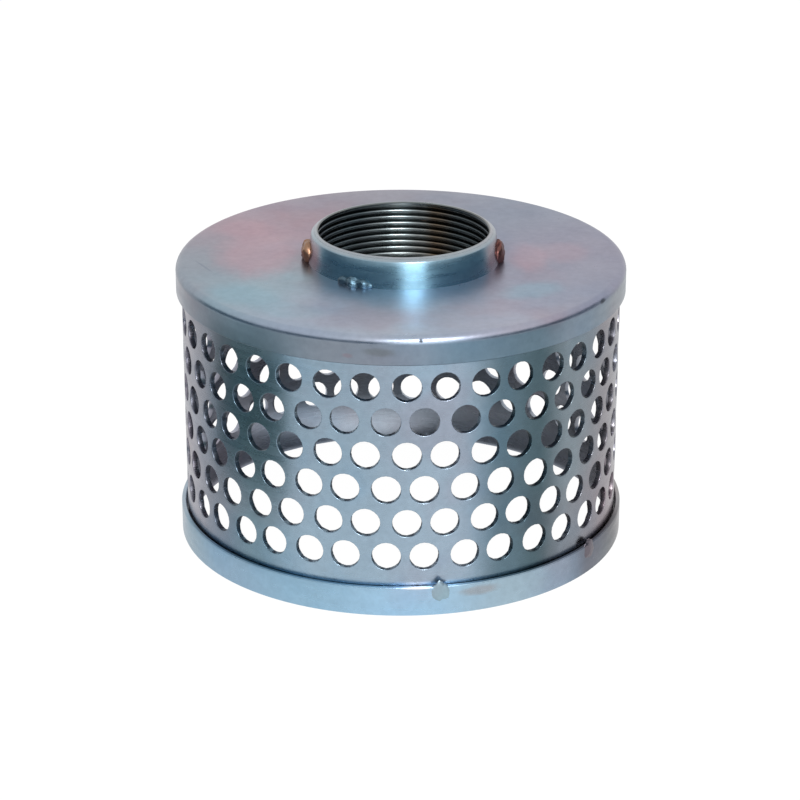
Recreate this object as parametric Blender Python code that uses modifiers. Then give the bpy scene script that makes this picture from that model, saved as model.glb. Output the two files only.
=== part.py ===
"""Round-hole suction strainer for the end of a hose.

A strip of steel sheet is punched, rolled into a drum and hung under a pressed cap. A threaded collar
stands in the cap, and a plain hoop stiffens the drum's open foot. Weld dabs hold the collar and the hoop.
Metres, +Z up, origin on the drum's axis at floor level. The front is towards -Y.
"""

import math

import bmesh
import bpy
from mathutils import Matrix, Vector

# Drum and its punched pattern
DRUM_DIAMETER = 0.14703
DRUM_SHEET = 0.0015
HOLE_DIAMETER = 0.009525
COLUMN_BRIDGE = 0.003175
ROW_BRIDGE = 0.002125
PAIR_DRIFT = 0.00055
STAGGER_SHARE = 0.52
PATTERN_TURN = math.radians(1.085)
FOOT_MARGIN = 0.00534
CAP_MARGIN = 0.0015

# Pressed cap
STRAINER_HEIGHT = 0.096
CAP_SHEET = 0.0015
CAP_SKIRT_DEPTH = 0.0095
CAP_BEND_RADIUS = 0.0026

# Hoop round the foot
HOOP_HEIGHT = 0.0100
HOOP_SHEET = 0.0012
HOOP_PLAY = 0.0009
HOOP_EDGE_BREAK = 0.0003

# Collar, welded a little off the drum's axis
COLLAR_BORE = 0.0570
COLLAR_RIM_WALL = 0.0022
COLLAR_FOOT_WALL = 0.0035
COLLAR_STAND = 0.0100
COLLAR_DEPTH = 0.0105
COLLAR_RIM_ROUND = 0.0014
COLLAR_FILLET = 0.0020
COLLAR_FOOT_EDGE = 0.0003
COLLAR_BORE_BREAK = 0.0003
COLLAR_OFFSET = 0.0009

# Weld dabs: how wide, tall and deep each lump is before its seat is taken out of it, and where it sits
HOOP_DAB_WIDTH = 0.0082
HOOP_DAB_HEIGHT = 0.0092
HOOP_DAB_DEPTH = 0.0042
HOOP_DAB_DROP = 0.0026
HOOP_DAB_SINK = 0.0010
HOOP_DAB_TURNS = {"a": 9.6, "b": 56.0, "c": 112.0, "d": 170.0, "e": 236.0}
COLLAR_DAB_HEIGHT = 0.0062
COLLAR_DAB_DEPTH = 0.0070
COLLAR_DAB_WIDTHS = {"left": 0.0090, "front": 0.0150, "right": 0.0100, "back": 0.0090}
COLLAR_DAB_TURNS = {"left": -80.0, "front": -28.0, "right": 78.0, "back": 184.0}

# Clearance between pieces that seat on each other
SEAT_GAP = 0.0003

# Facets
DRUM_FACETS = 72
COLLAR_FACETS = 48
HOLE_SIDES = 10
SHARP_EDGE = math.radians(35)

# Sizes that follow from the ones above
drum_radius = DRUM_DIAMETER / 2
cap_underside = STRAINER_HEIGHT - CAP_SHEET
cap_bend_height = STRAINER_HEIGHT - CAP_BEND_RADIUS
cap_inner_radius = drum_radius + SEAT_GAP
cap_radius = cap_inner_radius + CAP_SHEET
hoop_inner_radius = drum_radius + HOOP_PLAY
hoop_radius = hoop_inner_radius + HOOP_SHEET
bore_radius = COLLAR_BORE / 2
collar_rim_radius = bore_radius + COLLAR_RIM_WALL
collar_foot_radius = bore_radius + COLLAR_FOOT_WALL


def clear_scene():
    for obj in list(bpy.data.objects):
        bpy.data.objects.remove(obj, do_unlink=True)


def new_collection(name):
    collection = bpy.data.collections.new(name)
    bpy.context.scene.collection.children.link(collection)
    return collection


def metal(name, colour, roughness):
    """Zinc-plated steel in one tint."""
    material = bpy.data.materials.new(name)
    material.use_nodes = True
    shader = material.node_tree.nodes["Principled BSDF"]
    shader.inputs["Base Color"].default_value = (*colour, 1.0)
    shader.inputs["Metallic"].default_value = 1.0
    shader.inputs["Roughness"].default_value = roughness
    return material


def add_object(name, mesh, collection, material=None):
    obj = bpy.data.objects.new(name, mesh)
    collection.objects.link(obj)
    if material:
        mesh.materials.append(material)
    return obj


def as_cutter(obj):
    obj.hide_render = True
    obj.display_type = "WIRE"
    return obj


def arc(centre_x, centre_z, radius, start, end, steps):
    """Points of a round stretch of a profile, from one angle to another in degrees."""
    points = []
    for step in range(steps + 1):
        angle = math.radians(start + (end - start) * step / steps)
        points.append((centre_x + radius * math.cos(angle), centre_z + radius * math.sin(angle)))
    return points


def turned(name, profile, closed, facets, collection, material=None):
    """A solid of revolution: the profile's (radius, height) points run down its outer side."""
    mesh = bpy.data.meshes.new(name)
    count = len(profile)
    edges = [(index, (index + 1) % count) for index in range(count if closed else count - 1)]
    mesh.from_pydata([(radius, 0.0, height) for radius, height in profile], edges, [])
    obj = add_object(name, mesh, collection, material)
    screw = obj.modifiers.new("turn", "SCREW")
    screw.steps = facets
    screw.render_steps = facets
    screw.use_merge_vertices = True
    screw.merge_threshold = 0.00001
    return obj


def cut(obj, cutter):
    boolean = obj.modifiers.new("cut", "BOOLEAN")
    boolean.operation = "DIFFERENCE"
    boolean.solver = "EXACT"
    boolean.object = cutter


def punched_blank():
    """The flat strip before rolling, x along it and z up it, as an open sheet with its holes.

    The press punches two columns at a stroke, so holes stand in pairs a little closer than the pitch.
    Each hole has a cell of the strip to itself. Cells of one row lie side by side like bricks in a
    course, and the next course is shifted by the stagger. The strip's top edge stops under the cap's bend.
    """
    hole_radius = HOLE_DIAMETER / 2
    strip_length = 2 * math.pi * (drum_radius - DRUM_SHEET / 2)
    strokes = int(strip_length / (2 * (HOLE_DIAMETER + COLUMN_BRIDGE)) + 0.01)
    columns = 2 * strokes
    cell_width = strip_length / columns
    stagger = STAGGER_SHARE * cell_width
    row_pitch = HOLE_DIAMETER + ROW_BRIDGE
    drum_top = cap_bend_height
    lowest = HOOP_HEIGHT + FOOT_MARGIN + hole_radius
    highest = STRAINER_HEIGHT - CAP_SKIRT_DEPTH - CAP_MARGIN - hole_radius
    rows = 1 + int((highest - lowest) / row_pitch)

    blank = bmesh.new()
    for row in range(rows):
        shift = stagger * (row % 2)
        middle_shift = stagger if row % 2 == 0 else cell_width - stagger
        centre_z = lowest + row * row_pitch
        bottom = 0.0 if row == 0 else centre_z - row_pitch / 2
        top = drum_top if row == rows - 1 else centre_z + row_pitch / 2
        for column in range(columns):
            left = shift + (column - 1) * cell_width
            right = left + cell_width
            middle = left + middle_shift
            drift = PAIR_DRIFT / 2 if column % 2 == 0 else -PAIR_DRIFT / 2
            centre_x = (left + right) / 2 + drift
            outline = [
                (left, bottom), (middle, bottom), (right, bottom),
                (right, top), (middle, top), (left, top),
            ]
            corners = [blank.verts.new((x, 0.0, z)) for x, z in outline]
            edges = [blank.edges.new((corners[i - 1], corners[i])) for i in range(len(corners))]
            hole = bmesh.ops.create_circle(
                blank,
                segments=HOLE_SIDES,
                radius=hole_radius,
                matrix=Matrix.Translation((centre_x, 0.0, centre_z)) @ Matrix.Rotation(math.pi / 2, 4, "X"),
            )
            edges += list({edge for vert in hole["verts"] for edge in vert.link_edges})
            bmesh.ops.triangle_fill(blank, use_beauty=True, edges=edges, normal=Vector((0.0, -1.0, 0.0)))
    return blank


def make_drum(collection, material):
    """The blank rolled round the axis, joined at its ends and given the sheet's thickness."""
    rolled_radius = drum_radius - DRUM_SHEET / 2
    sheet = punched_blank()
    for vert in sheet.verts:
        turn = PATTERN_TURN + vert.co.x / rolled_radius
        vert.co = (rolled_radius * math.sin(turn), -rolled_radius * math.cos(turn), vert.co.z)
    bmesh.ops.remove_doubles(sheet, verts=sheet.verts, dist=0.00001)
    bmesh.ops.recalc_face_normals(sheet, faces=sheet.faces)
    mesh = bpy.data.meshes.new("perforated_drum")
    sheet.to_mesh(mesh)
    sheet.free()
    drum = add_object("perforated_drum", mesh, collection, material)
    thickness = drum.modifiers.new("sheet", "SOLIDIFY")
    thickness.thickness = DRUM_SHEET
    thickness.offset = 0.0
    return drum


def make_cap(collection, cutters, material):
    """A disc of sheet with its edge turned down over the drum, and a hole for the collar."""
    bend_x = cap_radius - CAP_BEND_RADIUS
    skirt_foot = STRAINER_HEIGHT - CAP_SKIRT_DEPTH
    profile = [(0.0, STRAINER_HEIGHT)]
    profile += arc(bend_x, cap_bend_height, CAP_BEND_RADIUS, 90, 0, 4)
    profile += [(cap_radius, skirt_foot), (cap_inner_radius, skirt_foot)]
    profile += arc(bend_x, cap_bend_height, CAP_BEND_RADIUS - CAP_SHEET, 0, 90, 3)
    profile += [(0.0, cap_underside)]
    cap = turned("top_cap", profile, False, DRUM_FACETS, collection, material)

    hole_radius = collar_foot_radius + SEAT_GAP
    overshoot = CAP_SHEET
    wall = [
        (0.0, STRAINER_HEIGHT + overshoot),
        (hole_radius, STRAINER_HEIGHT + overshoot),
        (hole_radius, cap_underside - overshoot),
        (0.0, cap_underside - overshoot),
    ]
    cutter = as_cutter(turned("collar_hole_cutter", wall, False, COLLAR_FACETS, cutters))
    cutter.location.x = COLLAR_OFFSET
    cut(cap, cutter)
    return cap


def collar_side(growth):
    """The collar's outer side above the cap, from its rounded rim down its taper and foot fillet."""
    rim_x = collar_rim_radius - COLLAR_RIM_ROUND
    rim_z = COLLAR_STAND - COLLAR_RIM_ROUND
    foot_z = SEAT_GAP + COLLAR_FOOT_EDGE
    side = arc(rim_x, rim_z, COLLAR_RIM_ROUND + growth, 90, 0, 3)
    side += arc(collar_foot_radius + COLLAR_FILLET, foot_z + COLLAR_FILLET, COLLAR_FILLET - growth, 180, 270, 4)
    return side


def make_collar(collection, material):
    """A turned collar whose shank goes through the cap. Its bore is at the thread's crests."""
    shank_radius = collar_foot_radius
    foot_radius = collar_foot_radius + COLLAR_FILLET
    profile = [(bore_radius, COLLAR_STAND - COLLAR_BORE_BREAK), (bore_radius + COLLAR_BORE_BREAK, COLLAR_STAND)]
    profile += collar_side(0.0)
    profile += [
        (foot_radius, SEAT_GAP),
        (shank_radius, SEAT_GAP),
        (shank_radius, -COLLAR_DEPTH),
        (bore_radius, -COLLAR_DEPTH),
    ]
    collar = turned("threaded_collar", profile, True, COLLAR_FACETS, collection, material)
    collar.location = (COLLAR_OFFSET, 0.0, STRAINER_HEIGHT)
    return collar


def make_hoop(collection, material):
    """A plain band round the drum's foot, flush with it below, its upper outer edge broken."""
    profile = [
        (hoop_inner_radius, HOOP_HEIGHT),
        (hoop_radius - HOOP_EDGE_BREAK, HOOP_HEIGHT),
        (hoop_radius, HOOP_HEIGHT - HOOP_EDGE_BREAK),
        (hoop_radius, 0.0),
        (hoop_inner_radius, 0.0),
    ]
    return turned("base_hoop", profile, True, DRUM_FACETS, collection, material)


def weld_dab(name, size, centre, turn, seat, collection, material):
    """A lump of weld metal: an ellipsoid, wide along the seam, less the pieces that it is laid on."""
    width, height, depth = size
    axis_x, radius, axis_z = centre
    lump = bmesh.new()
    bmesh.ops.create_uvsphere(lump, u_segments=12, v_segments=8, radius=0.5)
    bmesh.ops.scale(lump, vec=(width, depth, height), verts=lump.verts)
    bmesh.ops.translate(lump, vec=(0.0, -radius, axis_z), verts=lump.verts)
    bmesh.ops.rotate(lump, cent=(0, 0, 0), matrix=Matrix.Rotation(math.radians(turn), 3, "Z"), verts=lump.verts)
    bmesh.ops.translate(lump, vec=(axis_x, 0.0, 0.0), verts=lump.verts)
    mesh = bpy.data.meshes.new(name)
    lump.to_mesh(mesh)
    lump.free()
    dab = add_object(name, mesh, collection, material)
    cut(dab, seat)
    return dab


def make_hoop_dabs(collection, cutters, material):
    """Dabs over the hoop's upper edge, reaching the drum."""
    step = HOOP_HEIGHT + SEAT_GAP
    reach = HOOP_DAB_HEIGHT
    core = drum_radius - HOOP_DAB_DEPTH
    seat = as_cutter(turned("hoop_seat_cutter", [
        (core, step + reach),
        (drum_radius + SEAT_GAP, step + reach),
        (drum_radius + SEAT_GAP, step),
        (hoop_radius + SEAT_GAP, step),
        (hoop_radius + SEAT_GAP, -reach),
        (core, -reach),
    ], True, DRUM_FACETS, cutters))
    size = (HOOP_DAB_WIDTH, HOOP_DAB_HEIGHT, HOOP_DAB_DEPTH)
    centre = (0.0, hoop_radius - HOOP_DAB_SINK, HOOP_HEIGHT - HOOP_DAB_DROP)
    for label, turn in HOOP_DAB_TURNS.items():
        weld_dab(f"hoop_weld_{label}", size, centre, turn, seat, collection, material)


def make_collar_dabs(collection, cutters, material):
    """Dabs in the corner between the collar's foot and the cap."""
    outer = collar_foot_radius + COLLAR_FILLET + COLLAR_DAB_DEPTH
    core = bore_radius
    profile = [(core, COLLAR_STAND + SEAT_GAP)] + collar_side(SEAT_GAP)
    profile += [(outer, SEAT_GAP), (outer, -COLLAR_DEPTH), (core, -COLLAR_DEPTH)]
    seat = as_cutter(turned("collar_seat_cutter", profile, True, COLLAR_FACETS, cutters))
    seat.location = (COLLAR_OFFSET, 0.0, STRAINER_HEIGHT)
    centre = (COLLAR_OFFSET, collar_foot_radius, STRAINER_HEIGHT + COLLAR_FILLET / 2)
    for label, turn in COLLAR_DAB_TURNS.items():
        size = (COLLAR_DAB_WIDTHS[label], COLLAR_DAB_HEIGHT, COLLAR_DAB_DEPTH)
        weld_dab(f"collar_weld_{label}", size, centre, turn, seat, collection, material)


def finish_meshes(collection):
    """Applies each piece's modifiers and leaves round surfaces smooth and real edges sharp."""
    graph = bpy.context.evaluated_depsgraph_get()
    meshes = {obj: bpy.data.meshes.new_from_object(obj.evaluated_get(graph)) for obj in collection.objects}
    for obj, mesh in meshes.items():
        obj.modifiers.clear()
        obj.data = mesh
        mesh.shade_smooth()
        mesh.set_sharp_from_angle(angle=SHARP_EDGE)


def build():
    clear_scene()
    strainer = new_collection("suction_strainer")
    cutters = new_collection("cutters")
    plate = metal("zinc_plate", (0.46, 0.50, 0.56), 0.32)
    band = metal("zinc_plate_blue", (0.40, 0.50, 0.58), 0.35)
    machined = metal("zinc_plate_machined", (0.30, 0.38, 0.45), 0.22)
    weld = metal("weld_metal", (0.36, 0.38, 0.40), 0.45)
    make_drum(strainer, plate)
    make_cap(strainer, cutters, plate)
    make_collar(strainer, machined)
    make_hoop(strainer, band)
    make_hoop_dabs(strainer, cutters, weld)
    make_collar_dabs(strainer, cutters, weld)
    bpy.context.view_layer.update()
    finish_meshes(strainer)


build()
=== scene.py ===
import math

import bmesh
import bpy
from mathutils import Matrix, Vector, noise


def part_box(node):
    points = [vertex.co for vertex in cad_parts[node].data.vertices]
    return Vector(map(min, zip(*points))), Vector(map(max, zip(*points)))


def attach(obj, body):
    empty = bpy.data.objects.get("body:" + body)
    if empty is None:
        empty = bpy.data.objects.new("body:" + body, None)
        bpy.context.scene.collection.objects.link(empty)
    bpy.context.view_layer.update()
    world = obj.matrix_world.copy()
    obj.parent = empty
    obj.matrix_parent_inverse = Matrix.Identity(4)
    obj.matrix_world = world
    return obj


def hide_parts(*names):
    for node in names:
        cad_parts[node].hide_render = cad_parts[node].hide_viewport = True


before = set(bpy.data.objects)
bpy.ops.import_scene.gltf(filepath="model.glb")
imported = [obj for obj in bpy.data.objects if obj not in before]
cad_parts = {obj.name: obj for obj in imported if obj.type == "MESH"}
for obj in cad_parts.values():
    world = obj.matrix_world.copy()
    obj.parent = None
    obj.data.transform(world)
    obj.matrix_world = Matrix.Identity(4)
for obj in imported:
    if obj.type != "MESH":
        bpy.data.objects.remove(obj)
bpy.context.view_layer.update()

scene = bpy.context.scene


# Perforated drum
# One strip of zinc-plated sheet steel, punched with round holes in six staggered rows and rolled into
# a tube. The punch went in from outside, so each hole has a soft rolled edge there and a ragged burr
# inside. The cap's skirt covers its upper edge, and the hoop its foot.
drum_low, drum_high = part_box("perforated_drum")
hoop_low, hoop_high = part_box("base_hoop")
cap_low, cap_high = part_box("top_cap")
drum_radius = drum_high.x
drum_sheet = 0.0015
hole_radius = 0.009525 / 2
hole_sides = 20
column_pitch_wanted = 0.0127
row_pitch = 0.01165
pair_drift = 0.00055
stagger_share = 0.52
pattern_turn = math.radians(1.085)
land_over_hoop = 0.00534
lowest_row = hoop_high.z + land_over_hoop + hole_radius
row_count = 6
# How far the rolled edge reaches out from the hole and down into the sheet, ring by ring
rolled_edge = ((0.00022, 0.0), (0.00010, 0.00004), (0.00003, 0.00012), (0.0, 0.00026))
# The burr's foot round the hole, how far it stands out into the tube, and how ragged it is
burr_foot = 0.00030
burr = 0.00045
burr_mean = 0.7
burr_swing = 0.8
burr_grain = 900
# How far out of round a hole is, in how many waves, and how much that differs from hole to hole
edge_stray = 0.018
stray_waves = 1.5
stray_grain = 700

strip_length = 2 * math.pi * (drum_radius - drum_sheet / 2)
column_count = 2 * round(strip_length / (2 * column_pitch_wanted))
cell_width = strip_length / column_count
stagger = stagger_share * cell_width


def hole_places(row):
    """Each hole's cell on the flat strip: left, middle, right, bottom, top, and the hole's centre."""
    shift = stagger * (row % 2)
    middle_shift = stagger if row % 2 == 0 else cell_width - stagger
    centre_z = lowest_row + row * row_pitch
    bottom = drum_low.z if row == 0 else centre_z - row_pitch / 2
    top = drum_high.z if row == row_count - 1 else centre_z + row_pitch / 2
    for column in range(column_count):
        left = shift + (column - 1) * cell_width
        drift = pair_drift / 2 if column % 2 == 0 else -pair_drift / 2
        centre_x = left + cell_width / 2 + drift
        yield left, left + middle_shift, left + cell_width, bottom, top, centre_x, centre_z


def punch_row(row, depth, rings, normal):
    """One course of one face of the strip, each hole's edge carried on through its rings."""
    blank = bmesh.new()
    for left, middle, right, bottom, top, centre_x, centre_z in hole_places(row):
        outline = (
            (left, bottom), (middle, bottom), (right, bottom),
            (right, top), (middle, top), (left, top),
        )
        corners = [blank.verts.new((x, depth, z)) for x, z in outline]
        edges = [blank.edges.new((corners[i - 1], corners[i])) for i in range(len(corners))]
        upright = Matrix.Rotation(math.pi / 2, 4, "X")
        ring = bmesh.ops.create_circle(
            blank,
            segments=hole_sides,
            radius=hole_radius + rings[0][0],
            matrix=Matrix.Translation((centre_x, depth, centre_z)) @ upright,
        )
        # The punch leaves each hole a little out of round
        for vert in ring["verts"]:
            way = Vector((vert.co.x - centre_x, 0.0, vert.co.z - centre_z))
            stray = noise.noise(
                way.normalized() * stray_waves + Vector((centre_x, 0.0, centre_z)) * stray_grain
            )
            vert.co += way * edge_stray * stray
        rim_edges = list(dict.fromkeys(edge for vert in ring["verts"] for edge in vert.link_edges))
        bmesh.ops.triangle_fill(blank, use_beauty=True, edges=edges + rim_edges, normal=normal)
        for (reach, _), (next_reach, next_depth) in zip(rings, rings[1:]):
            grown = bmesh.ops.extrude_edge_only(blank, edges=rim_edges)["geom"]
            verts = [item for item in grown if isinstance(item, bmesh.types.BMVert)]
            rim_edges = [
                item for item in grown
                if isinstance(item, bmesh.types.BMEdge) and all(vert in verts for vert in item.verts)
            ]
            share = (hole_radius + next_reach) / (hole_radius + reach)
            for vert in verts:
                vert.co.x = centre_x + (vert.co.x - centre_x) * share
                vert.co.z = centre_z + (vert.co.z - centre_z) * share
                vert.co.y = next_depth
        for vert in {vert for edge in rim_edges for vert in edge.verts}:
            ragged = noise.noise(Vector((vert.co.x, 0.0, vert.co.z)) * burr_grain)
            vert.co.y += burr * (burr_mean + burr_swing * ragged)
    return blank


def joined(parts):
    """One bmesh out of several."""
    whole = bmesh.new()
    for part in parts:
        carrier = bpy.data.meshes.new("carrier")
        part.to_mesh(carrier)
        part.free()
        whole.from_mesh(carrier)
        bpy.data.meshes.remove(carrier)
    return whole


def close_ends(body, level):
    """Bridges the two open loops below a level and the two above it, and turns all faces outwards."""
    open_edges = [edge for edge in body.edges if edge.is_boundary]
    bmesh.ops.bridge_loops(body, edges=[edge for edge in open_edges if edge.verts[0].co.z < level])
    bmesh.ops.bridge_loops(body, edges=[edge for edge in open_edges if edge.verts[0].co.z > level])
    bmesh.ops.recalc_face_normals(body, faces=body.faces)


def made_object(name, body_mesh, material):
    """Turns a finished bmesh into an object of one material."""
    mesh = bpy.data.meshes.new(name)
    body_mesh.to_mesh(mesh)
    body_mesh.free()
    mesh.materials.append(material)
    made = bpy.data.objects.new(name, mesh)
    scene.collection.objects.link(made)
    return made


sharp_bend = math.radians(38)


def as_piece(name, body_mesh, material, slot, *nodes):
    """Turns a finished bmesh into a piece that stands for its CAD nodes and rides on the body."""
    piece = made_object(name, body_mesh, material)
    piece.data.shade_smooth()
    piece.data.set_sharp_from_angle(angle=sharp_bend)
    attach(piece, "root")
    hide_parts(*nodes)
    return piece


def add_node(tree, kind, **settings):
    """Adds a shader node. A setting named with a capital letter is a socket, any other an attribute."""
    made = tree.nodes.new(kind)
    for key, value in settings.items():
        if key[0].isupper():
            made.inputs[key.replace("_", " ")].default_value = value
        else:
            setattr(made, key, value)
    return made


def plain_colour(red, green, blue):
    """A colour as seen on a screen, from 0 to 255, turned into the light values that a shader takes."""
    shares = [value / 255 for value in (red, green, blue)]
    light = [
        share / 12.92 if share <= 0.04045 else ((share + 0.055) / 1.055) ** 2.4 for share in shares
    ]
    return (*light, 1.0)


def fade(tree, start, end, first=0.0, last=1.0, **settings):
    """A value that goes from first to last while what feeds it goes from start to end."""
    return add_node(
        tree, "ShaderNodeMapRange", From_Min=start, From_Max=end, To_Min=first, To_Max=last, **settings
    )


def colour_stops(tree, stops, lowest, highest):
    """A colour ramp whose stops are given in the units of what feeds it. Returns its two sockets."""
    scaled = fade(tree, lowest, highest)
    ramp = add_node(tree, "ShaderNodeValToRGB")
    ramp.color_ramp.interpolation = "EASE"
    elements = ramp.color_ramp.elements
    while len(elements) > 1:
        elements.remove(elements[-1])
    for index, (place, colour) in enumerate(stops):
        share = (place - lowest) / (highest - lowest)
        stop = elements[0] if index == 0 else elements.new(share)
        stop.position = share
        stop.color = plain_colour(*colour)
    tree.links.new(scaled.outputs["Result"], ramp.inputs["Fac"])
    return scaled.inputs["Value"], ramp.outputs["Color"]


def compass_group():
    """Where a point lies: its turn from the front in degrees, its height, its reach from the axis."""
    tree = bpy.data.node_groups.new("place_on_strainer", "ShaderNodeTree")
    tree.interface.new_socket("Aside", in_out="INPUT", socket_type="NodeSocketFloat")
    for name in ("Turn", "Height", "Reach"):
        tree.interface.new_socket(name, in_out="OUTPUT", socket_type="NodeSocketFloat")
    starts = add_node(tree, "NodeGroupInput")
    place = add_node(tree, "ShaderNodeTexCoord")
    parts = add_node(tree, "ShaderNodeSeparateXYZ")
    across = add_node(tree, "ShaderNodeMath", operation="SUBTRACT")
    back = add_node(tree, "ShaderNodeMath", operation="MULTIPLY")
    back.inputs[1].default_value = -1.0
    turn = add_node(tree, "ShaderNodeMath", operation="ARCTAN2")
    degrees = add_node(tree, "ShaderNodeMath", operation="DEGREES")
    flat = add_node(tree, "ShaderNodeCombineXYZ")
    reach = add_node(tree, "ShaderNodeVectorMath", operation="LENGTH")
    ends = add_node(tree, "NodeGroupOutput")
    link = tree.links.new
    link(place.outputs["Object"], parts.inputs["Vector"])
    link(parts.outputs["X"], across.inputs[0])
    link(starts.outputs["Aside"], across.inputs[1])
    link(parts.outputs["Y"], back.inputs[0])
    link(across.outputs[0], turn.inputs[0])
    link(back.outputs[0], turn.inputs[1])
    link(turn.outputs[0], degrees.inputs[0])
    link(across.outputs[0], flat.inputs["X"])
    link(parts.outputs["Y"], flat.inputs["Y"])
    link(flat.outputs["Vector"], reach.inputs[0])
    link(degrees.outputs[0], ends.inputs["Turn"])
    link(parts.outputs["Z"], ends.inputs["Height"])
    link(reach.outputs["Value"], ends.inputs["Reach"])
    return tree


def plating_group():
    """Zinc plating over steel: slow drifts of rosy and blue-green film, mottling, rolling streaks."""
    tree = bpy.data.node_groups.new("zinc_plating", "ShaderNodeTree")
    for name, kind, value in (
        ("Base", "NodeSocketColor", (0.5, 0.5, 0.5, 1.0)),
        ("Rosy Film", "NodeSocketFloat", 0.3),
        ("Blue Film", "NodeSocketFloat", 0.3),
        ("Gloss", "NodeSocketFloat", 0.3),
        ("Relief", "NodeSocketFloat", 0.00002),
    ):
        tree.interface.new_socket(name, in_out="INPUT", socket_type=kind).default_value = value
    for name, kind in (
        ("Colour", "NodeSocketColor"),
        ("Roughness", "NodeSocketFloat"),
        ("Height", "NodeSocketFloat"),
    ):
        tree.interface.new_socket(name, in_out="OUTPUT", socket_type=kind)
    starts = add_node(tree, "NodeGroupInput")
    ends = add_node(tree, "NodeGroupOutput")
    place = add_node(tree, "ShaderNodeTexCoord")
    drift = add_node(tree, "ShaderNodeTexNoise", Scale=22.0, Detail=3.0, Roughness=0.55)
    other = add_node(tree, "ShaderNodeTexNoise", Scale=31.0, Detail=3.0, Roughness=0.5)
    mottle = add_node(tree, "ShaderNodeTexNoise", Scale=420.0, Detail=4.0, Roughness=0.6)
    streaks = add_node(tree, "ShaderNodeTexNoise", Scale=60.0, Detail=4.0, Roughness=0.6)
    across = add_node(tree, "ShaderNodeMapping", Location=(3.1, 1.7, 0.4), Scale=(1.0, 1.0, 9.0))
    aside = add_node(tree, "ShaderNodeMapping", Location=(0.7, 2.9, 1.3))
    rosy_mask = fade(tree, 0.50, 0.68, interpolation_type="SMOOTHSTEP")
    blue_mask = fade(tree, 0.48, 0.70, interpolation_type="SMOOTHSTEP")
    rosy_share = add_node(tree, "ShaderNodeMath", operation="MULTIPLY")
    blue_share = add_node(tree, "ShaderNodeMath", operation="MULTIPLY")
    rosy = add_node(tree, "ShaderNodeMix", data_type="RGBA", blend_type="MULTIPLY")
    rosy.inputs["B"].default_value = plain_colour(255, 222, 222)
    blue = add_node(tree, "ShaderNodeMix", data_type="RGBA", blend_type="MULTIPLY")
    blue.inputs["B"].default_value = plain_colour(214, 240, 255)
    speckle = fade(tree, 0.3, 0.7, 0.93, 1.05)
    shade = add_node(tree, "ShaderNodeVectorMath", operation="SCALE")
    dull = fade(tree, 0.3, 0.7, -0.05, 0.07)
    gloss = add_node(tree, "ShaderNodeMath", operation="ADD", use_clamp=True)
    grain = add_node(tree, "ShaderNodeMath", operation="ADD")
    height = add_node(tree, "ShaderNodeMath", operation="MULTIPLY")
    link = tree.links.new
    link(place.outputs["Object"], drift.inputs["Vector"])
    link(place.outputs["Object"], aside.inputs["Vector"])
    link(aside.outputs["Vector"], other.inputs["Vector"])
    link(place.outputs["Object"], mottle.inputs["Vector"])
    link(place.outputs["Object"], across.inputs["Vector"])
    link(across.outputs["Vector"], streaks.inputs["Vector"])
    link(drift.outputs["Fac"], rosy_mask.inputs["Value"])
    link(other.outputs["Fac"], blue_mask.inputs["Value"])
    link(rosy_mask.outputs["Result"], rosy_share.inputs[0])
    link(starts.outputs["Rosy Film"], rosy_share.inputs[1])
    link(blue_mask.outputs["Result"], blue_share.inputs[0])
    link(starts.outputs["Blue Film"], blue_share.inputs[1])
    link(starts.outputs["Base"], rosy.inputs["A"])
    link(rosy_share.outputs[0], rosy.inputs["Factor"])
    link(rosy.outputs["Result"], blue.inputs["A"])
    link(blue_share.outputs[0], blue.inputs["Factor"])
    link(mottle.outputs["Fac"], speckle.inputs["Value"])
    link(blue.outputs["Result"], shade.inputs[0])
    link(speckle.outputs["Result"], shade.inputs["Scale"])
    link(shade.outputs["Vector"], ends.inputs["Colour"])
    link(streaks.outputs["Fac"], dull.inputs["Value"])
    link(starts.outputs["Gloss"], gloss.inputs[0])
    link(dull.outputs["Result"], gloss.inputs[1])
    link(gloss.outputs[0], ends.inputs["Roughness"])
    link(mottle.outputs["Fac"], grain.inputs[0])
    link(streaks.outputs["Fac"], grain.inputs[1])
    link(grain.outputs[0], height.inputs[0])
    link(starts.outputs["Relief"], height.inputs[1])
    link(height.outputs[0], ends.inputs["Height"])
    return tree


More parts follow.
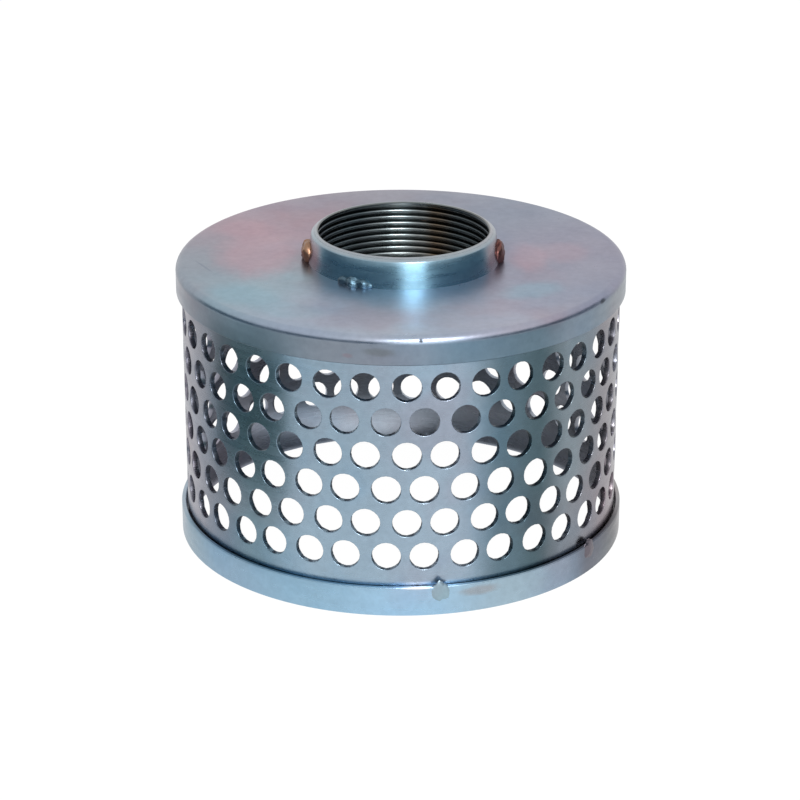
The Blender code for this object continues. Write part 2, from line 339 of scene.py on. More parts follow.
def mark_group():
    """A soft mark round a place, 1 inside it and 0 outside, with half-sizes and a turn from above."""
    tree = bpy.data.node_groups.new("soft_mark", "ShaderNodeTree")
    for name, kind, value in (
        ("Where", "NodeSocketVector", (0.0, 0.0, 0.0)),
        ("Turned", "NodeSocketFloat", 0.0),
        ("Size", "NodeSocketVector", (0.01, 0.01, 0.01)),
        ("Raggedness", "NodeSocketFloat", 0.55),
    ):
        tree.interface.new_socket(name, in_out="INPUT", socket_type=kind).default_value = value
    tree.interface.new_socket("Mask", in_out="OUTPUT", socket_type="NodeSocketFloat")
    starts = add_node(tree, "NodeGroupInput")
    ends = add_node(tree, "NodeGroupOutput")
    place = add_node(tree, "ShaderNodeTexCoord")
    away = add_node(tree, "ShaderNodeVectorMath", operation="SUBTRACT")
    turned = add_node(tree, "ShaderNodeVectorRotate", rotation_type="Z_AXIS")
    scaled = add_node(tree, "ShaderNodeVectorMath", operation="DIVIDE")
    rough = add_node(tree, "ShaderNodeTexNoise", Scale=1.6, Detail=3.0, Roughness=0.6)
    centred = add_node(tree, "ShaderNodeMath", operation="SUBTRACT")
    centred.inputs[1].default_value = 0.5
    swing = add_node(tree, "ShaderNodeMath", operation="MULTIPLY")
    reach = add_node(tree, "ShaderNodeVectorMath", operation="LENGTH")
    total = add_node(tree, "ShaderNodeMath", operation="ADD")
    mask = fade(tree, 0.45, 1.15, 1.0, 0.0, interpolation_type="SMOOTHSTEP")
    link = tree.links.new
    link(place.outputs["Object"], away.inputs[0])
    link(starts.outputs["Where"], away.inputs[1])
    link(away.outputs["Vector"], turned.inputs["Vector"])
    link(starts.outputs["Turned"], turned.inputs["Angle"])
    link(turned.outputs["Vector"], scaled.inputs[0])
    link(starts.outputs["Size"], scaled.inputs[1])
    link(scaled.outputs["Vector"], rough.inputs["Vector"])
    link(scaled.outputs["Vector"], reach.inputs[0])
    link(rough.outputs["Fac"], centred.inputs[0])
    link(centred.outputs[0], swing.inputs[0])
    link(starts.outputs["Raggedness"], swing.inputs[1])
    link(reach.outputs["Value"], total.inputs[0])
    link(swing.outputs[0], total.inputs[1])
    link(total.outputs[0], mask.inputs["Value"])
    link(mask.outputs["Result"], ends.inputs["Mask"])
    return tree


compass = compass_group()
plating = plating_group()
soft_mark = mark_group()


def marked(tree, colour, marks):
    """Lays soft marks over a colour, each with its place, half-sizes, turn, tone and strength."""
    for where, size, turned, tone, strength in marks:
        spot = add_node(
            tree, "ShaderNodeGroup", node_tree=soft_mark,
            Where=where, Size=size, Turned=math.radians(turned),
        )
        share = add_node(tree, "ShaderNodeMath", operation="MULTIPLY")
        share.inputs[1].default_value = strength
        laid = add_node(tree, "ShaderNodeMix", data_type="RGBA")
        laid.inputs["B"].default_value = plain_colour(*tone)
        tree.links.new(spot.outputs["Mask"], share.inputs[0])
        tree.links.new(share.outputs[0], laid.inputs["Factor"])
        tree.links.new(colour, laid.inputs["A"])
        colour = laid.outputs["Result"]
    return colour


def plated(name, colour_of, rosy, blue, gloss, relief, aside=0.0):
    """A plated metal. colour_of takes the node tree and the place group, and gives a colour socket."""
    material = bpy.data.materials.new(name)
    material.use_nodes = True
    tree = material.node_tree
    shader = tree.nodes["Principled BSDF"]
    shader.inputs["Metallic"].default_value = 1.0
    place = add_node(tree, "ShaderNodeGroup", node_tree=compass, Aside=aside)
    film = add_node(
        tree, "ShaderNodeGroup", node_tree=plating,
        Rosy_Film=rosy, Blue_Film=blue, Gloss=gloss, Relief=relief,
    )
    bump = add_node(tree, "ShaderNodeBump", Strength=1.0, Distance=1.0)
    tree.links.new(colour_of(tree, place), film.inputs["Base"])
    tree.links.new(film.outputs["Colour"], shader.inputs["Base Color"])
    tree.links.new(film.outputs["Roughness"], shader.inputs["Roughness"])
    tree.links.new(film.outputs["Height"], bump.inputs["Height"])
    tree.links.new(bump.outputs["Normal"], shader.inputs["Normal"])
    return material


# The heights between which the outside pales towards the foot, a painted reflection of the bright
# floor, and between which the inside goes from a painted light at its foot to a painted shade above.
# Then the reach from the axis over which the one gives way to the other
floor_reflection_heights = (0.012, 0.060)
inner_light_and_shade_heights = (0.013, 0.018)
sheet_reach = (drum_radius - 0.0013, drum_radius - 0.0004)
# The wall's plating by its turn from the front, blue-grey, with deeper blue-green stretches each side
# that are painted reflections of the dark surroundings
wall_tones_and_reflections = (
    (-180, (150, 160, 172)),
    (-105, (150, 152, 164)),
    (-72, (144, 143, 153)),
    (-54, (118, 126, 138)),
    (-42, (114, 136, 148)),
    (-24, (146, 168, 184)),
    (14, (152, 171, 187)),
    (27, (94, 116, 128)),
    (37, (79, 99, 107)),
    (48, (128, 140, 148)),
    (68, (134, 131, 137)),
    (180, (150, 160, 172)),
)


def wall_colour(tree, place):
    """By turn, with painted reflections of the dark surroundings, and a little paler towards the foot,
    a painted reflection of the bright floor. Inside, a painted light at the foot gives way to a painted
    shade above.
    """
    # The deeper stretches in these tones are painted reflections of the dark surroundings
    turn, colour = colour_stops(tree, wall_tones_and_reflections, -180, 180)
    # Painted reflection of the bright floor outside; painted light at the foot and painted shade above
    # it inside
    floor_reflection = fade(tree, *floor_reflection_heights, 1.12, 1.0)
    inner_light_and_shade = fade(tree, *inner_light_and_shade_heights, 1.35, 0.74)
    outside = fade(tree, *sheet_reach)
    share = add_node(tree, "ShaderNodeMix", data_type="FLOAT")
    shaded = add_node(tree, "ShaderNodeVectorMath", operation="SCALE")
    tree.links.new(place.outputs["Turn"], turn)
    tree.links.new(place.outputs["Height"], floor_reflection.inputs["Value"])
    tree.links.new(place.outputs["Height"], inner_light_and_shade.inputs["Value"])
    tree.links.new(place.outputs["Reach"], outside.inputs["Value"])
    tree.links.new(outside.outputs["Result"], share.inputs["Factor"])
    tree.links.new(inner_light_and_shade.outputs["Result"], share.inputs["A"])
    tree.links.new(floor_reflection.outputs["Result"], share.inputs["B"])
    tree.links.new(colour, shaded.inputs[0])
    tree.links.new(share.outputs["Result"], shaded.inputs["Scale"])
    return shaded.outputs["Vector"]


wall_metal = plated("plated_wall", wall_colour, rosy=0.45, blue=0.5, gloss=0.27, relief=0.00003)

outer_rings = rolled_edge + ((0.0, drum_sheet),)
inner_rings = ((burr_foot, drum_sheet), (0.0, drum_sheet))
outwards, inwards = Vector((0.0, -1.0, 0.0)), Vector((0.0, 1.0, 0.0))
courses = [punch_row(row, 0.0, outer_rings, outwards) for row in range(row_count)]
courses += [punch_row(row, drum_sheet, inner_rings, inwards) for row in range(row_count)]
drum = joined(courses)
for vert in drum.verts:
    turn = pattern_turn + vert.co.x / (drum_radius - drum_sheet / 2)
    radius = drum_radius - vert.co.y
    vert.co = (radius * math.sin(turn), -radius * math.cos(turn), vert.co.z)
bmesh.ops.remove_doubles(drum, verts=drum.verts, dist=0.00001)
close_ends(drum, (drum_low.z + drum_high.z) / 2)
drum_piece = as_piece("perforated_drum_wall", drum, wall_metal, "plated_sheet", "perforated_drum")
# The sheet's two round faces get their true round normals, so the flats between the holes don't show
face_margin = 0.000002
level_face = 0.9
face_normals = []
for face in drum_piece.data.polygons:
    for index in face.vertices:
        place = drum_piece.data.vertices[index].co
        outward = Vector((place.x, place.y, 0.0))
        depth = drum_radius - outward.length
        normal = Vector((0.0, 0.0, 0.0))
        if abs(face.normal.z) < level_face and depth < face_margin:
            normal = outward.normalized()
        elif abs(face.normal.z) < level_face and abs(depth - drum_sheet) < face_margin:
            normal = -outward.normalized()
        face_normals.append(normal)
drum_piece.data.normals_split_custom_set(face_normals)


# Pressed cap
# A disc of the same sheet with its edge turned down over the drum in a tight bend, and a round hole
# that the collar stands in. It is spun from its section.
cap_radius = cap_high.x
cap_top = cap_high.z
cap_sheet = 0.0015
cap_bend = 0.0026
cap_rings = (0.020, 0.040, 0.055, 0.066)
round_steps = 180
collar_low, collar_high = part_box("threaded_collar")
collar_x = (collar_low.x + collar_high.x) / 2
collar_seat = 0.0320


def arc(centre_x, centre_z, radius, start, end, steps):
    """Points of a round stretch of a section, from one angle to another in degrees."""
    points = []
    for step in range(steps + 1):
        angle = math.radians(start + (end - start) * step / steps)
        points.append((centre_x + radius * math.cos(angle), centre_z + radius * math.sin(angle)))
    return points


def spun(section, steps, closed=True):
    """A ring turned from its section of (radius, height) points, round the strainer's axis."""
    body = bmesh.new()
    verts = [body.verts.new((radius, 0.0, height)) for radius, height in section]
    edges = [body.edges.new(pair) for pair in zip(verts, verts[1:])]
    if closed:
        edges.append(body.edges.new((verts[-1], verts[0])))
    bmesh.ops.spin(
        body,
        geom=verts + edges,
        cent=(0.0, 0.0, 0.0),
        axis=(0.0, 0.0, 1.0),
        angle=2 * math.pi,
        steps=steps,
        use_merge=True,
    )
    bmesh.ops.recalc_face_normals(body, faces=body.faces)
    return body


# Stains and scars in the cap's plating, and a painted highlight, each with its place, half-sizes, turn
# in degrees, tone and strength: rosy and blue clouds, a pale painted highlight in front of the collar,
# a fine scratch, and a pit, a nick whose dent is painted as shade, and two smudges on the bend and
# skirt
rosy_stain = (174, 141, 153)
blue_stain = (128, 164, 180)
cap_marks_and_highlight = (
    ((-0.048, 0.005, 0.096), (0.016, 0.028, 0.01), 0, rosy_stain, 0.7),
    ((0.0430, 0.000, 0.096), (0.0075, 0.016, 0.01), 0, rosy_stain, 0.45),
    ((-0.0537, 0.0303, 0.096), (0.012, 0.010, 0.01), 0, rosy_stain, 0.5),
    ((0.0549, 0.0051, 0.096), (0.010, 0.012, 0.01), 0, rosy_stain, 0.3),
    ((-0.0502, -0.0369, 0.096), (0.016, 0.010, 0.01), 30, blue_stain, 0.6),
    ((-0.0352, -0.0508, 0.096), (0.014, 0.008, 0.01), 20, blue_stain, 0.4),
    ((0.0428, -0.0322, 0.096), (0.013, 0.008, 0.01), -30, blue_stain, 0.45),
    # A painted highlight: the lamp's glare on the cap in front of the collar
    ((-0.002, -0.043, 0.096), (0.022, 0.012, 0.01), 0, (186, 198, 210), 0.4),
    ((-0.0653, -0.0094, 0.096), (0.0068, 0.0005, 0.004), 61, (112, 122, 138), 0.7),
    ((0.0062, -0.0753, 0.0947), (0.0009, 0.003, 0.0007), 0, (34, 38, 44), 0.95),
    # The nick: a small dent on the bend, painted as a dark shade
    ((0.0655, -0.0378, 0.0942), (0.0022, 0.0022, 0.0009), 0, (60, 66, 76), 0.8),
    ((-0.0167, -0.0737, 0.0893), (0.0020, 0.003, 0.0009), 0, (146, 116, 122), 0.35),
    ((-0.0071, -0.0753, 0.0909), (0.0060, 0.004, 0.0016), 0, (112, 120, 124), 0.6),
)


# The heights in the bend between which the skirt's tones give way to the top's
tones_change = (cap_top - cap_bend * 1.05, cap_top - cap_bend * 0.5)


def cap_colour(tree, place):
    """Lavender-grey, rosier at the back left, and palest in front where a highlight is painted. The
    skirt is bluer, and darker in painted shade, with deeper stretches each side that are painted
    reflections of the dark surroundings.
    """
    # The paler front of the top is a painted highlight
    turn, top_tone_and_highlight = colour_stops(tree, (
        (-180, (140, 139, 152)),
        (-125, (156, 135, 148)),
        (-85, (136, 144, 156)),
        (-58, (138, 159, 172)),
        (-25, (150, 162, 180)),
        (0, (164, 172, 186)),
        (25, (166, 166, 180)),
        (58, (142, 144, 162)),
        (100, (140, 138, 156)),
        (145, (130, 138, 156)),
        (180, (140, 139, 152)),
    ), -180, 180)
    # The skirt's darker tones are painted shade, and its deepest stretches painted reflections of the
    # dark surroundings
    skirt_turn, skirt_tone_and_shade = colour_stops(tree, (
        (-180, (140, 148, 160)),
        (-82, (154, 158, 168)),
        (-60, (122, 132, 144)),
        (-40, (116, 138, 152)),
        (-15, (138, 147, 159)),
        (2, (130, 142, 156)),
        (14, (116, 138, 154)),
        (34, (106, 128, 142)),
        (48, (132, 146, 160)),
        (70, (138, 146, 154)),
        (180, (140, 148, 160)),
    ), -180, 180)
    upwards = fade(tree, *tones_change)
    mixed = add_node(tree, "ShaderNodeMix", data_type="RGBA")
    tree.links.new(place.outputs["Turn"], turn)
    tree.links.new(place.outputs["Turn"], skirt_turn)
    tree.links.new(place.outputs["Height"], upwards.inputs["Value"])
    tree.links.new(upwards.outputs["Result"], mixed.inputs["Factor"])
    tree.links.new(skirt_tone_and_shade, mixed.inputs["A"])
    tree.links.new(top_tone_and_highlight, mixed.inputs["B"])
    return marked(tree, mixed.outputs["Result"], cap_marks_and_highlight)


cap_metal = plated("plated_cap", cap_colour, rosy=0.5, blue=0.3, gloss=0.32, relief=0.00003)

bend_centre = (cap_radius - cap_bend, cap_top - cap_bend)
skirt_edge = 0.00025
inner_skirt = cap_radius - cap_sheet
cap_section = [(radius, cap_top) for radius in cap_rings]
cap_section += arc(*bend_centre, cap_bend, 90, 0, 10)
cap_section += [(cap_radius, cap_low.z + skirt_edge), (cap_radius - skirt_edge, cap_low.z)]
cap_section += [(inner_skirt + skirt_edge, cap_low.z), (inner_skirt, cap_low.z + skirt_edge)]
cap_section += arc(*bend_centre, cap_bend - cap_sheet, 0, 90, 6)
cap = spun(cap_section, round_steps, closed=False)
# The hole for the collar: the flat rings end in a round mouth drawn over to the collar's centre
level_margin = 0.0001
for level in (cap_top, cap_top - cap_sheet):
    mouth = [
        edge for edge in cap.edges
        if edge.is_boundary and all(abs(vert.co.z - level) < level_margin for vert in edge.verts)
    ]
    for vert in {vert for edge in mouth for vert in edge.verts}:
        flat = Vector((vert.co.x, vert.co.y)).normalized() * collar_seat
        vert.co.x, vert.co.y = collar_x + flat.x, flat.y
bmesh.ops.bridge_loops(cap, edges=[edge for edge in cap.edges if edge.is_boundary])
bmesh.ops.recalc_face_normals(cap, faces=cap.faces)
as_piece("pressed_cap", cap, cap_metal, "plated_sheet", "top_cap")


# Threaded collar
# A turned steel collar with a straight pipe thread inside, plated like the rest. Its outside tapers out
# from a bevelled rim and flares at its foot, and its shank goes down through the cap.
collar_top = collar_high.z
collar_foot = collar_low.z
crest_radius = 0.0285
thread_pitch = 0.0254 / 11.5
thread_depth = 0.00125
thread_steps = 120
rim_radius = 0.0309
rim_flat = 0.0008
rim_bevel = (0.0306, 0.0010)
rim_drop = 0.0014
foot_radius = 0.0322
flare = (0.0317, 0.0024)
shank_gap = 0.0002
shank_bevel = 0.0004

# The bore: one long zigzag section, swept once round while it climbs one pitch, so it meets itself.
# Each point of a turn has its share of the pitch and its share of the thread's depth
turn_points = (
    (0.0, 0.0),
    (0.08, 0.012),
    (0.16, 0.06),
    (0.24, 0.16),
    (0.30, 0.34),
    (0.42, 0.98),
    (0.52, 1.0),
    (0.76, 0.22),
    (0.90, 0.03),
)
turns_below = 1.5
turn_count = math.ceil((collar_top - collar_foot) / thread_pitch) + 2
collar = bmesh.new()
bore_verts = []
for turn in range(turn_count):
    for share, depth in turn_points:
        height = collar_foot + (turn - turns_below + share) * thread_pitch
        bore_verts.append(collar.verts.new((crest_radius + thread_depth * depth, 0.0, height)))
bore_edges = [collar.edges.new(pair) for pair in zip(bore_verts, bore_verts[1:])]
bmesh.ops.spin(
    collar,
    geom=bore_verts + bore_edges,
    cent=(0.0, 0.0, 0.0),
    axis=(0.0, 0.0, 1.0),
    dvec=(0.0, 0.0, thread_pitch / thread_steps),
    angle=2 * math.pi,
    steps=thread_steps,
    use_merge=False,
)
bmesh.ops.remove_doubles(collar, verts=collar.verts, dist=0.000005)
mouth_drop = 0.0003
for height, up in ((collar_top - mouth_drop, 1.0), (collar_foot, -1.0)):
    bmesh.ops.bisect_plane(
        collar,
        geom=collar.verts[:] + collar.edges[:] + collar.faces[:],
        plane_co=(0.0, 0.0, height),
        plane_no=(0.0, 0.0, up),
        clear_outer=True,
        dist=0.000001,
    )
# The thread fades in over its first millimetre, under a small lead-in chamfer
lead_in = 0.0011
for vert in collar.verts:
    radius = math.hypot(vert.co.x, vert.co.y)
    below = collar_top - mouth_drop - vert.co.z
    kept = min(1.0, max(0.0, below / lead_in))
    wanted = crest_radius + (radius - crest_radius) * kept
    vert.co.x *= wanted / radius
    vert.co.y *= wanted / radius
outer_section = [(crest_radius + mouth_drop, collar_top), (crest_radius + rim_flat, collar_top)]
outer_section += [(rim_bevel[0], collar_top - rim_bevel[1]), (rim_radius, collar_top - rim_drop)]
outer_section += [(flare[0], cap_top + flare[1]), (foot_radius, cap_top)]
shank_radius = collar_seat - shank_gap
outer_section += [(shank_radius, cap_top - shank_gap), (shank_radius, collar_foot + shank_bevel)]
outer_section += [(shank_radius - shank_bevel, collar_foot)]
collar = joined([collar, spun(outer_section, thread_steps, closed=False)])
close_ends(collar, (collar_top + collar_foot) / 2)
bmesh.ops.translate(collar, vec=(collar_x, 0.0, 0.0), verts=collar.verts)


# The bore's tones end a little below its mouth and past its grooves. Then the reach from the collar's
# axis over which the grooves darken in painted shade, and over which the rim's painted reflection gives
# way to the side's tones
bore_margin = 0.0001
groove_shade_reach = (crest_radius + 0.0002, crest_radius + 0.0007)
side_reach = (rim_bevel[0], rim_radius + 0.0002)


def collar_colour(tree, place):
    """Blue-green in front, and rosier round the sides and back, a painted reflection of the rosy cap,
    with a rim painted pale as a reflection of the bright room. The bore is grey, with a painted
    highlight at the back and a brown tint beside it, painted shade over its front half, and painted
    shade in its grooves."""
    # The rim's paleness is a painted reflection of the bright room
    reach, colour = colour_stops(tree, (
        (0.0270, (120, 124, 124)),
        (0.0287, (120, 124, 124)),
        (0.0292, (160, 166, 172)),
        (0.0303, (154, 166, 174)),
        (0.0309, (138, 158, 170)),
    ), 0.026, 0.036)
    # The rosy sides and back are a painted reflection of the rosy cap
    turn, side_tone_and_reflection = colour_stops(tree, (
        (-180, (150, 138, 146)),
        (-68, (150, 138, 146)),
        (-56, (118, 154, 172)),
        (54, (118, 154, 172)),
        (66, (146, 138, 146)),
        (180, (150, 138, 146)),
    ), -180, 180)
    # The bore's pale back is a painted highlight, and its dark front half painted shade
    bore_turn, bore_tint_light_and_shade = colour_stops(tree, (
        (-180, (176, 184, 184)),
        (-166, (128, 136, 138)),
        (-146, (88, 98, 102)),
        (-90, (66, 76, 84)),
        (90, (66, 76, 84)),
        (140, (84, 90, 92)),
        (158, (112, 98, 84)),
        (168, (140, 142, 140)),
        (180, (176, 184, 184)),
    ), -180, 180)
    outer = fade(tree, *side_reach)
    rim_and_side = add_node(tree, "ShaderNodeMix", data_type="RGBA")
    within = add_node(tree, "ShaderNodeMath", operation="LESS_THAN")
    within.inputs[1].default_value = collar_top - mouth_drop - bore_margin
    groove = add_node(tree, "ShaderNodeMath", operation="LESS_THAN")
    groove.inputs[1].default_value = crest_radius + thread_depth + bore_margin
    in_bore = add_node(tree, "ShaderNodeMath", operation="MULTIPLY")
    # Painted shade deep in the thread's grooves
    shade = fade(tree, *groove_shade_reach, 1.0, 0.45)
    shaded = add_node(tree, "ShaderNodeVectorMath", operation="SCALE")
    threaded = add_node(tree, "ShaderNodeMix", data_type="RGBA")
    tree.links.new(place.outputs["Reach"], reach)
    tree.links.new(place.outputs["Turn"], turn)
    tree.links.new(place.outputs["Turn"], bore_turn)
    tree.links.new(place.outputs["Reach"], outer.inputs["Value"])
    tree.links.new(place.outputs["Height"], within.inputs[0])
    tree.links.new(place.outputs["Reach"], groove.inputs[0])
    tree.links.new(within.outputs[0], in_bore.inputs[0])
    tree.links.new(groove.outputs[0], in_bore.inputs[1])
    tree.links.new(outer.outputs["Result"], rim_and_side.inputs["Factor"])
    tree.links.new(colour, rim_and_side.inputs["A"])
    tree.links.new(side_tone_and_reflection, rim_and_side.inputs["B"])
    tree.links.new(in_bore.outputs[0], threaded.inputs["Factor"])
    tree.links.new(rim_and_side.outputs["Result"], threaded.inputs["A"])
    tree.links.new(place.outputs["Reach"], shade.inputs["Value"])
    tree.links.new(bore_tint_light_and_shade, shaded.inputs[0])
    tree.links.new(shade.outputs["Result"], shaded.inputs["Scale"])
    tree.links.new(shaded.outputs["Vector"], threaded.inputs["B"])
    return threaded.outputs["Result"]


collar_metal = plated(
    "plated_collar", collar_colour, rosy=0.3, blue=0.3, gloss=0.28, relief=0.00001, aside=collar_x
)
as_piece("threaded_collar_turned", collar, collar_metal, "plated_collar", "threaded_collar")


# Hoop
# A plain band of plated strip round the drum's open foot, flush with it below. It stands a little off
# the wall, so a dark line shows above it.
hoop_radius = hoop_high.x
hoop_edge = 0.00035
hoop_stand = 0.0005
inner_hoop = drum_radius + hoop_stand
hoop_section = [(inner_hoop, hoop_low.z + hoop_edge), (inner_hoop, hoop_high.z - hoop_edge)]
hoop_section += [(inner_hoop + hoop_edge, hoop_high.z)]
hoop_section += arc(hoop_radius - hoop_edge, hoop_high.z - hoop_edge, hoop_edge, 90, 0, 4)
hoop_section += arc(hoop_radius - hoop_edge, hoop_low.z + hoop_edge, hoop_edge, 0, -90, 4)
hoop_section += [(inner_hoop + hoop_edge, hoop_low.z)]

# A greyish smear, and a painted highlight of the lamp on the upper edge
hoop_smear_and_highlight = (
    ((0.0255, -0.0713, 0.0072), (0.0075, 0.006, 0.0020), 0, (158, 160, 164), 0.7),
    # A painted highlight, where the hoop's upper edge mirrors the lamp
    ((0.0051, -0.0755, 0.0098), (0.0050, 0.003, 0.0006), 0, (226, 234, 238), 0.8),
)


def hoop_colour(tree, place):
    """Pale blue in front, duller and darker towards the right, a painted reflection of the dark
    surroundings.
    """
    turn, colour = colour_stops(tree, (
        (-180, (150, 168, 182)),
        (-82, (158, 172, 184)),
        (-70, (134, 160, 176)),
        (-50, (144, 172, 194)),
        (-25, (150, 184, 206)),
        (2, (164, 200, 226)),
        (28, (163, 186, 200)),
        (43, (152, 170, 186)),
        # The darker stretch to the right is a painted reflection of the dark surroundings
        (57, (106, 116, 128)),
        (72, (90, 93, 98)),
        (86, (150, 152, 152)),
        (180, (150, 168, 182)),
    ), -180, 180)
    tree.links.new(place.outputs["Turn"], turn)
    return marked(tree, colour, hoop_smear_and_highlight)


hoop_metal = plated("plated_band", hoop_colour, rosy=0.4, blue=0.4, gloss=0.30, relief=0.00003)
as_piece("foot_hoop", spun(hoop_section, round_steps), hoop_metal, "plated_band", "base_hoop")


# Weld dabs
# Lumps of weld metal: dabs over the hoop's upper edge, and dabs and a bead in the corner round the
# collar's foot. Each is a flattened drop with a rippled, slightly lumpy skin.

# How much a lump's skin swells slowly and ripples, and how fine the swell and the ripple are
slow_swell = 0.24
slow_grain = 1.6
ripple_swell = 0.14
ripple_along = 900
ripple_up = 500
# How wide a bead is at least, and how deep, how close and from where it is pinched
bead_width = 0.012
pinch_swell = 0.25
pinch_waves = 19
pinch_start = 0.8


def weld_drop(axis_x, reach, turn, level, width, depth, height):
    """A lump laid round an upright axis: width runs along the round, depth outwards and height up. A
    bead, which is wider than a dab, is pinched where one drop of metal met the next."""
    lump = bmesh.new()
    bmesh.ops.create_icosphere(lump, subdivisions=4, radius=0.5)
    # A lump's own place stirs its noise, so no two are alike
    for vert in lump.verts:
        way = vert.co.normalized()
        slow = noise.noise(way * slow_grain + Vector((turn * 7, level * 90, 0.0)))
        along, up = way.x * width * ripple_along, way.z * height * ripple_up
        ripple = noise.noise(Vector((along, way.y * 2, up)) + Vector((0, turn, 9)))
        swell = 1.0 + slow_swell * slow + ripple_swell * ripple
        pinch = 1.0
        if width > bead_width:
            pinch += pinch_swell * math.cos(vert.co.x * pinch_waves + pinch_start)
        angle = turn + vert.co.x * width / reach
        radius = reach - vert.co.y * depth * swell * pinch
        rise = vert.co.z * height * swell * pinch
        vert.co = (axis_x + radius * math.sin(angle), -radius * math.cos(angle), level + rise)
    return lump


# The heights, clear of all lumps, between which the hoop's tones give way to the collar's
lumps_change = (0.04, 0.06)


def weld_colour(tree, place):
    """Pale blue-grey on the hoop, duller to the right, a painted reflection of the dark surroundings.
    Round the collar the weld's heat has left the sides brown, and the front is dark blue-grey."""
    turn, upper = colour_stops(tree, (
        (-180, (110, 96, 88)),
        (-75, (150, 122, 100)),
        (-50, (78, 100, 112)),
        (-10, (84, 110, 126)),
        (60, (112, 78, 74)),
        (180, (110, 96, 88)),
    ), -180, 180)
    # On the hoop the duller right is a painted reflection of the dark surroundings
    lower_turn, lower = colour_stops(tree, (
        (-180, (140, 150, 156)),
        (12, (152, 178, 190)),
        (50, (112, 114, 122)),
        (180, (140, 150, 156)),
    ), -180, 180)
    upwards = fade(tree, *lumps_change)
    mixed = add_node(tree, "ShaderNodeMix", data_type="RGBA")
    tree.links.new(place.outputs["Turn"], turn)
    tree.links.new(place.outputs["Turn"], lower_turn)
    tree.links.new(place.outputs["Height"], upwards.inputs["Value"])
    tree.links.new(upwards.outputs["Result"], mixed.inputs["Factor"])
    tree.links.new(lower, mixed.inputs["A"])
    tree.links.new(upper, mixed.inputs["B"])
    return mixed.outputs["Result"]


weld_metal = plated("plated_weld", weld_colour, rosy=0.6, blue=0.3, gloss=0.36, relief=0.00005)

# How deep a lump's middle lies in what it sits on, and how far it is above the cap or below the hoop's
# edge, as a share of the lump's height. The collar's lumps lie a little further round than their solids
weld_sink = 0.0004
dab_rise = 0.34
bead_rise = 0.12
hoop_lump_drop = 0.30
collar_turn_share = 1.09
# The lumps' width, depth and height
hoop_lump = (0.0070, 0.0015, 0.0070)
collar_lumps = {
    "collar_weld_left": (0.0095, 0.0050, 0.0074),
    "collar_weld_front": (0.0135, 0.0042, 0.0044),
    "collar_weld_right": (0.0100, 0.0040, 0.0078),
    "collar_weld_back": (0.0085, 0.0044, 0.0066),
}
for node in sorted(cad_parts):
    if "_weld_" not in node:
        continue
    low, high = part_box(node)
    middle = (low + high) / 2
    if node in collar_lumps:
        size = collar_lumps[node]
        turn = math.atan2(middle.x - collar_x, -middle.y) * collar_turn_share
        level = cap_top + size[2] * (bead_rise if size[0] > bead_width else dab_rise)
        lump = weld_drop(collar_x, foot_radius - weld_sink, turn, level, *size)
    else:
        turn = math.atan2(middle.x, -middle.y)
        level = hoop_high.z - hoop_lump[2] * hoop_lump_drop
        lump = weld_drop(0.0, hoop_radius - weld_sink, turn, level, *hoop_lump)
    as_piece(node + "_lump", lump, weld_metal, "weld_metal", node)


# Camera
# A long lens a little above the front, as the photograph was taken. It looks at a point on the
# strainer's axis, below its middle.
camera_place = (-0.0003, -0.8669, 0.3997)
camera_target = (-0.0003, 0.0, 0.0443)
lens_length = 123.36

photo_camera = bpy.data.cameras.new("photo_camera")
photo_camera.lens = lens_length
photo_camera.sensor_width = 36.0
camera = bpy.data.objects.new("photo_camera", photo_camera)
scene.collection.objects.link(camera)
camera.location = camera_place
camera.rotation_mode = "QUATERNION"
camera.rotation_quaternion = (Vector(camera_target) - camera.location).to_track_quat("-Z", "Y")
scene.camera = camera


# Floor and studio
# A plain white floor and surroundings, with a painted shade and a painted patch of light under the
# strainer that only the metal mirrors, a dark cloth to the front and a grey one to the left for the
# metal to mirror, one broad soft lamp in front and a small one above it.
def glow_share(tree, shader_a, shader_b, camera_share, mirror_share):
    """Mixes two shaders by how much of the second the camera and the metal's mirror rays see."""
    path = add_node(tree, "ShaderNodeLightPath")
    mirror = add_node(tree, "ShaderNodeMath", operation="MAXIMUM")
    seen = add_node(tree, "ShaderNodeMath", operation="MULTIPLY")
    seen.inputs[1].default_value = camera_share
    mirrored = add_node(tree, "ShaderNodeMath", operation="MULTIPLY")
    if isinstance(mirror_share, float):
        mirrored.inputs[1].default_value = mirror_share
    else:
        tree.links.new(mirror_share, mirrored.inputs[1])
    total = add_node(tree, "ShaderNodeMath", operation="MAXIMUM")
    mix = add_node(tree, "ShaderNodeMixShader")
    link = tree.links.new
    link(path.outputs["Is Camera Ray"], seen.inputs[0])
    link(path.outputs["Is Glossy Ray"], mirror.inputs[0])
    link(path.outputs["Is Transmission Ray"], mirror.inputs[1])
    link(mirror.outputs[0], mirrored.inputs[0])
    link(seen.outputs[0], total.inputs[0])
    link(mirrored.outputs[0], total.inputs[1])
    link(total.outputs[0], mix.inputs["Fac"])
    link(shader_a, mix.inputs[1])
    link(shader_b, mix.inputs[2])
    return mix.outputs["Shader"]


# The floor's half-size, its light, and how much of that the camera and the metal see. Then the width of
# the edge of the shade painted under the strainer, and the patch of light painted in that shade
floor_size = 3.0
floor_light = 1.06
floor_seen = 0.93
floor_mirrored = 0.77
painted_shade_edge = 0.004
painted_light_place = (-0.009, 0.055, 0.0)
painted_light_reach = (0.008, 0.019)
room_light = 0.55

floor_paint = bpy.data.materials.new("white_floor")
floor_paint.use_nodes = True
tree = floor_paint.node_tree
tree.nodes.remove(tree.nodes["Principled BSDF"])
matt = add_node(tree, "ShaderNodeBsdfDiffuse", Color=(0.86, 0.86, 0.86, 1.0))
glow = add_node(tree, "ShaderNodeEmission", Color=(1.0, 1.0, 1.0, 1.0), Strength=floor_light)
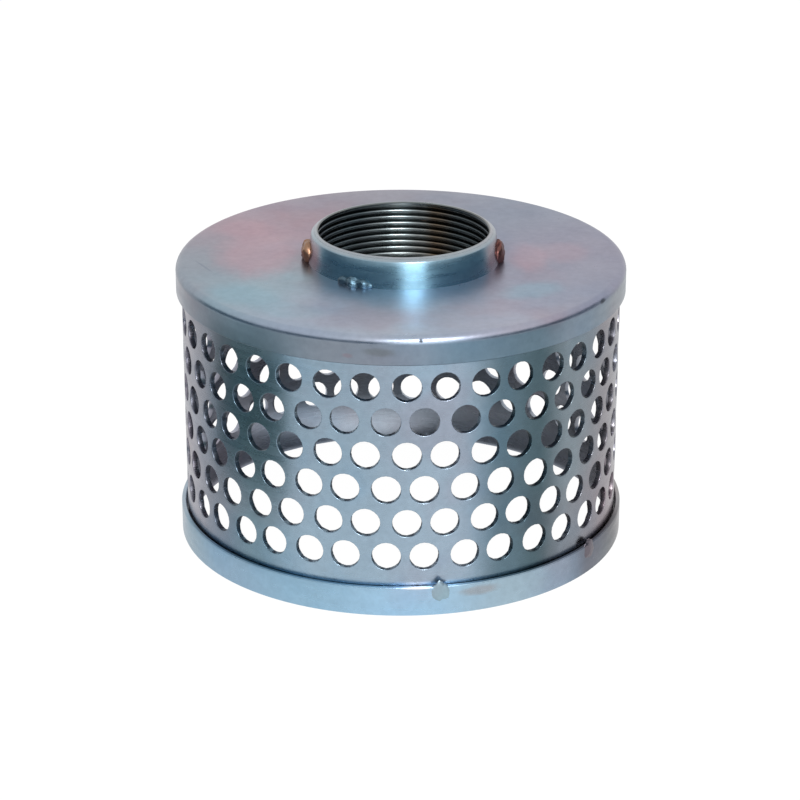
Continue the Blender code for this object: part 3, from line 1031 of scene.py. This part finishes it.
# Under the strainer the floor's glow is taken away, a painted shade that the metal inside mirrors
spot = add_node(tree, "ShaderNodeTexCoord")
away = add_node(tree, "ShaderNodeVectorMath", operation="LENGTH")
glow_outside_painted_shade = fade(tree, drum_radius - painted_shade_edge, drum_radius, 0.0, floor_mirrored)
# A painted patch of light in that shade, standing for light that falls through the collar
from_painted_light = add_node(tree, "ShaderNodeVectorMath", operation="DISTANCE")
from_painted_light.inputs[1].default_value = painted_light_place
painted_light_patch = fade(tree, *painted_light_reach, 1.0, 0.0)
mirrored_glow = add_node(tree, "ShaderNodeMath", operation="MAXIMUM")
tree.links.new(spot.outputs["Object"], away.inputs[0])
tree.links.new(away.outputs["Value"], glow_outside_painted_shade.inputs["Value"])
tree.links.new(spot.outputs["Object"], from_painted_light.inputs[0])
tree.links.new(from_painted_light.outputs["Value"], painted_light_patch.inputs["Value"])
tree.links.new(painted_light_patch.outputs["Result"], mirrored_glow.inputs[0])
tree.links.new(glow_outside_painted_shade.outputs["Result"], mirrored_glow.inputs[1])
tree.links.new(
    glow_share(tree, matt.outputs[0], glow.outputs[0], floor_seen, mirrored_glow.outputs[0]),
    tree.nodes["Material Output"].inputs["Surface"],
)
floor_shape = bmesh.new()
bmesh.ops.create_grid(floor_shape, x_segments=2, y_segments=2, size=floor_size)
made_object("floor", floor_shape, floor_paint)

world = bpy.data.worlds.new("studio")
scene.world = world
world.use_nodes = True
tree = world.node_tree
soft = add_node(tree, "ShaderNodeBackground", Color=(1.0, 1.0, 1.0, 1.0), Strength=room_light)
white = add_node(tree, "ShaderNodeBackground", Color=(1.0, 1.0, 1.0, 1.0), Strength=1.0)
tree.links.new(
    glow_share(tree, soft.outputs[0], white.outputs[0], 1.0, 1.0),
    tree.nodes["World Output"].inputs["Surface"],
)


def cloth(name, red, green, blue):
    """Matt cloth of one colour."""
    made = bpy.data.materials.new(name)
    made.use_nodes = True
    shader = made.node_tree.nodes["Principled BSDF"]
    shader.inputs["Base Color"].default_value = (red, green, blue, 1.0)
    shader.inputs["Roughness"].default_value = 0.9
    return made


dark_cloth = cloth("dark_cloth", 0.12, 0.19, 0.26)
grey_cloth = cloth("grey_cloth", 0.34, 0.46, 0.45)


def hang_cloth(name, weave, middle_turn, half_turn, distance, low, high):
    """A cloth curved round the strainer, which only the metal sees. Its turns are in degrees."""
    wall = bmesh.new()
    start = math.radians(middle_turn - half_turn)
    across, along = distance * math.sin(start), -distance * math.cos(start)
    ends = [wall.verts.new((across, along, z)) for z in (low, high)]
    edge = wall.edges.new(ends)
    bmesh.ops.spin(
        wall,
        geom=ends + [edge],
        cent=(0.0, 0.0, 0.0),
        axis=(0.0, 0.0, 1.0),
        angle=math.radians(2 * half_turn),
        steps=24,
        use_merge=False,
    )
    hung = made_object(name, wall, weave)
    hung.visible_camera = False
    hung.visible_diffuse = False
    hung.visible_shadow = False


hang_cloth("front_cloth", dark_cloth, middle_turn=0, half_turn=113, distance=0.75, low=0.0, high=0.36)
hang_cloth("left_cloth", grey_cloth, middle_turn=-67, half_turn=21, distance=0.145, low=0.0, high=0.060)

lamp_target = (0.0, 0.0, 0.05)


def hang_lamp(name, turn, height, distance, width, depth, power):
    """A rectangular soft lamp aimed at the strainer. Its turn and its height are in degrees."""
    light = bpy.data.lights.new(name, "AREA")
    light.shape = "RECTANGLE"
    light.size = width
    light.size_y = depth
    light.energy = power
    lamp = bpy.data.objects.new(name, light)
    scene.collection.objects.link(lamp)
    lamp.visible_camera = False
    level = math.radians(height)
    around = math.radians(turn)
    flat = distance * math.cos(level)
    up = lamp_target[2] + distance * math.sin(level)
    lamp.location = (flat * math.sin(around), -flat * math.cos(around), up)
    lamp.rotation_mode = "QUATERNION"
    lamp.rotation_quaternion = (Vector(lamp_target) - lamp.location).to_track_quat("-Z", "Y")


hang_lamp("front_lamp", turn=12, height=19, distance=0.7, width=0.32, depth=0.56, power=1.6)
hang_lamp("small_lamp", turn=14, height=44, distance=0.69, width=0.10, depth=0.09, power=1.6)

scene.view_settings.view_transform = "Standard"
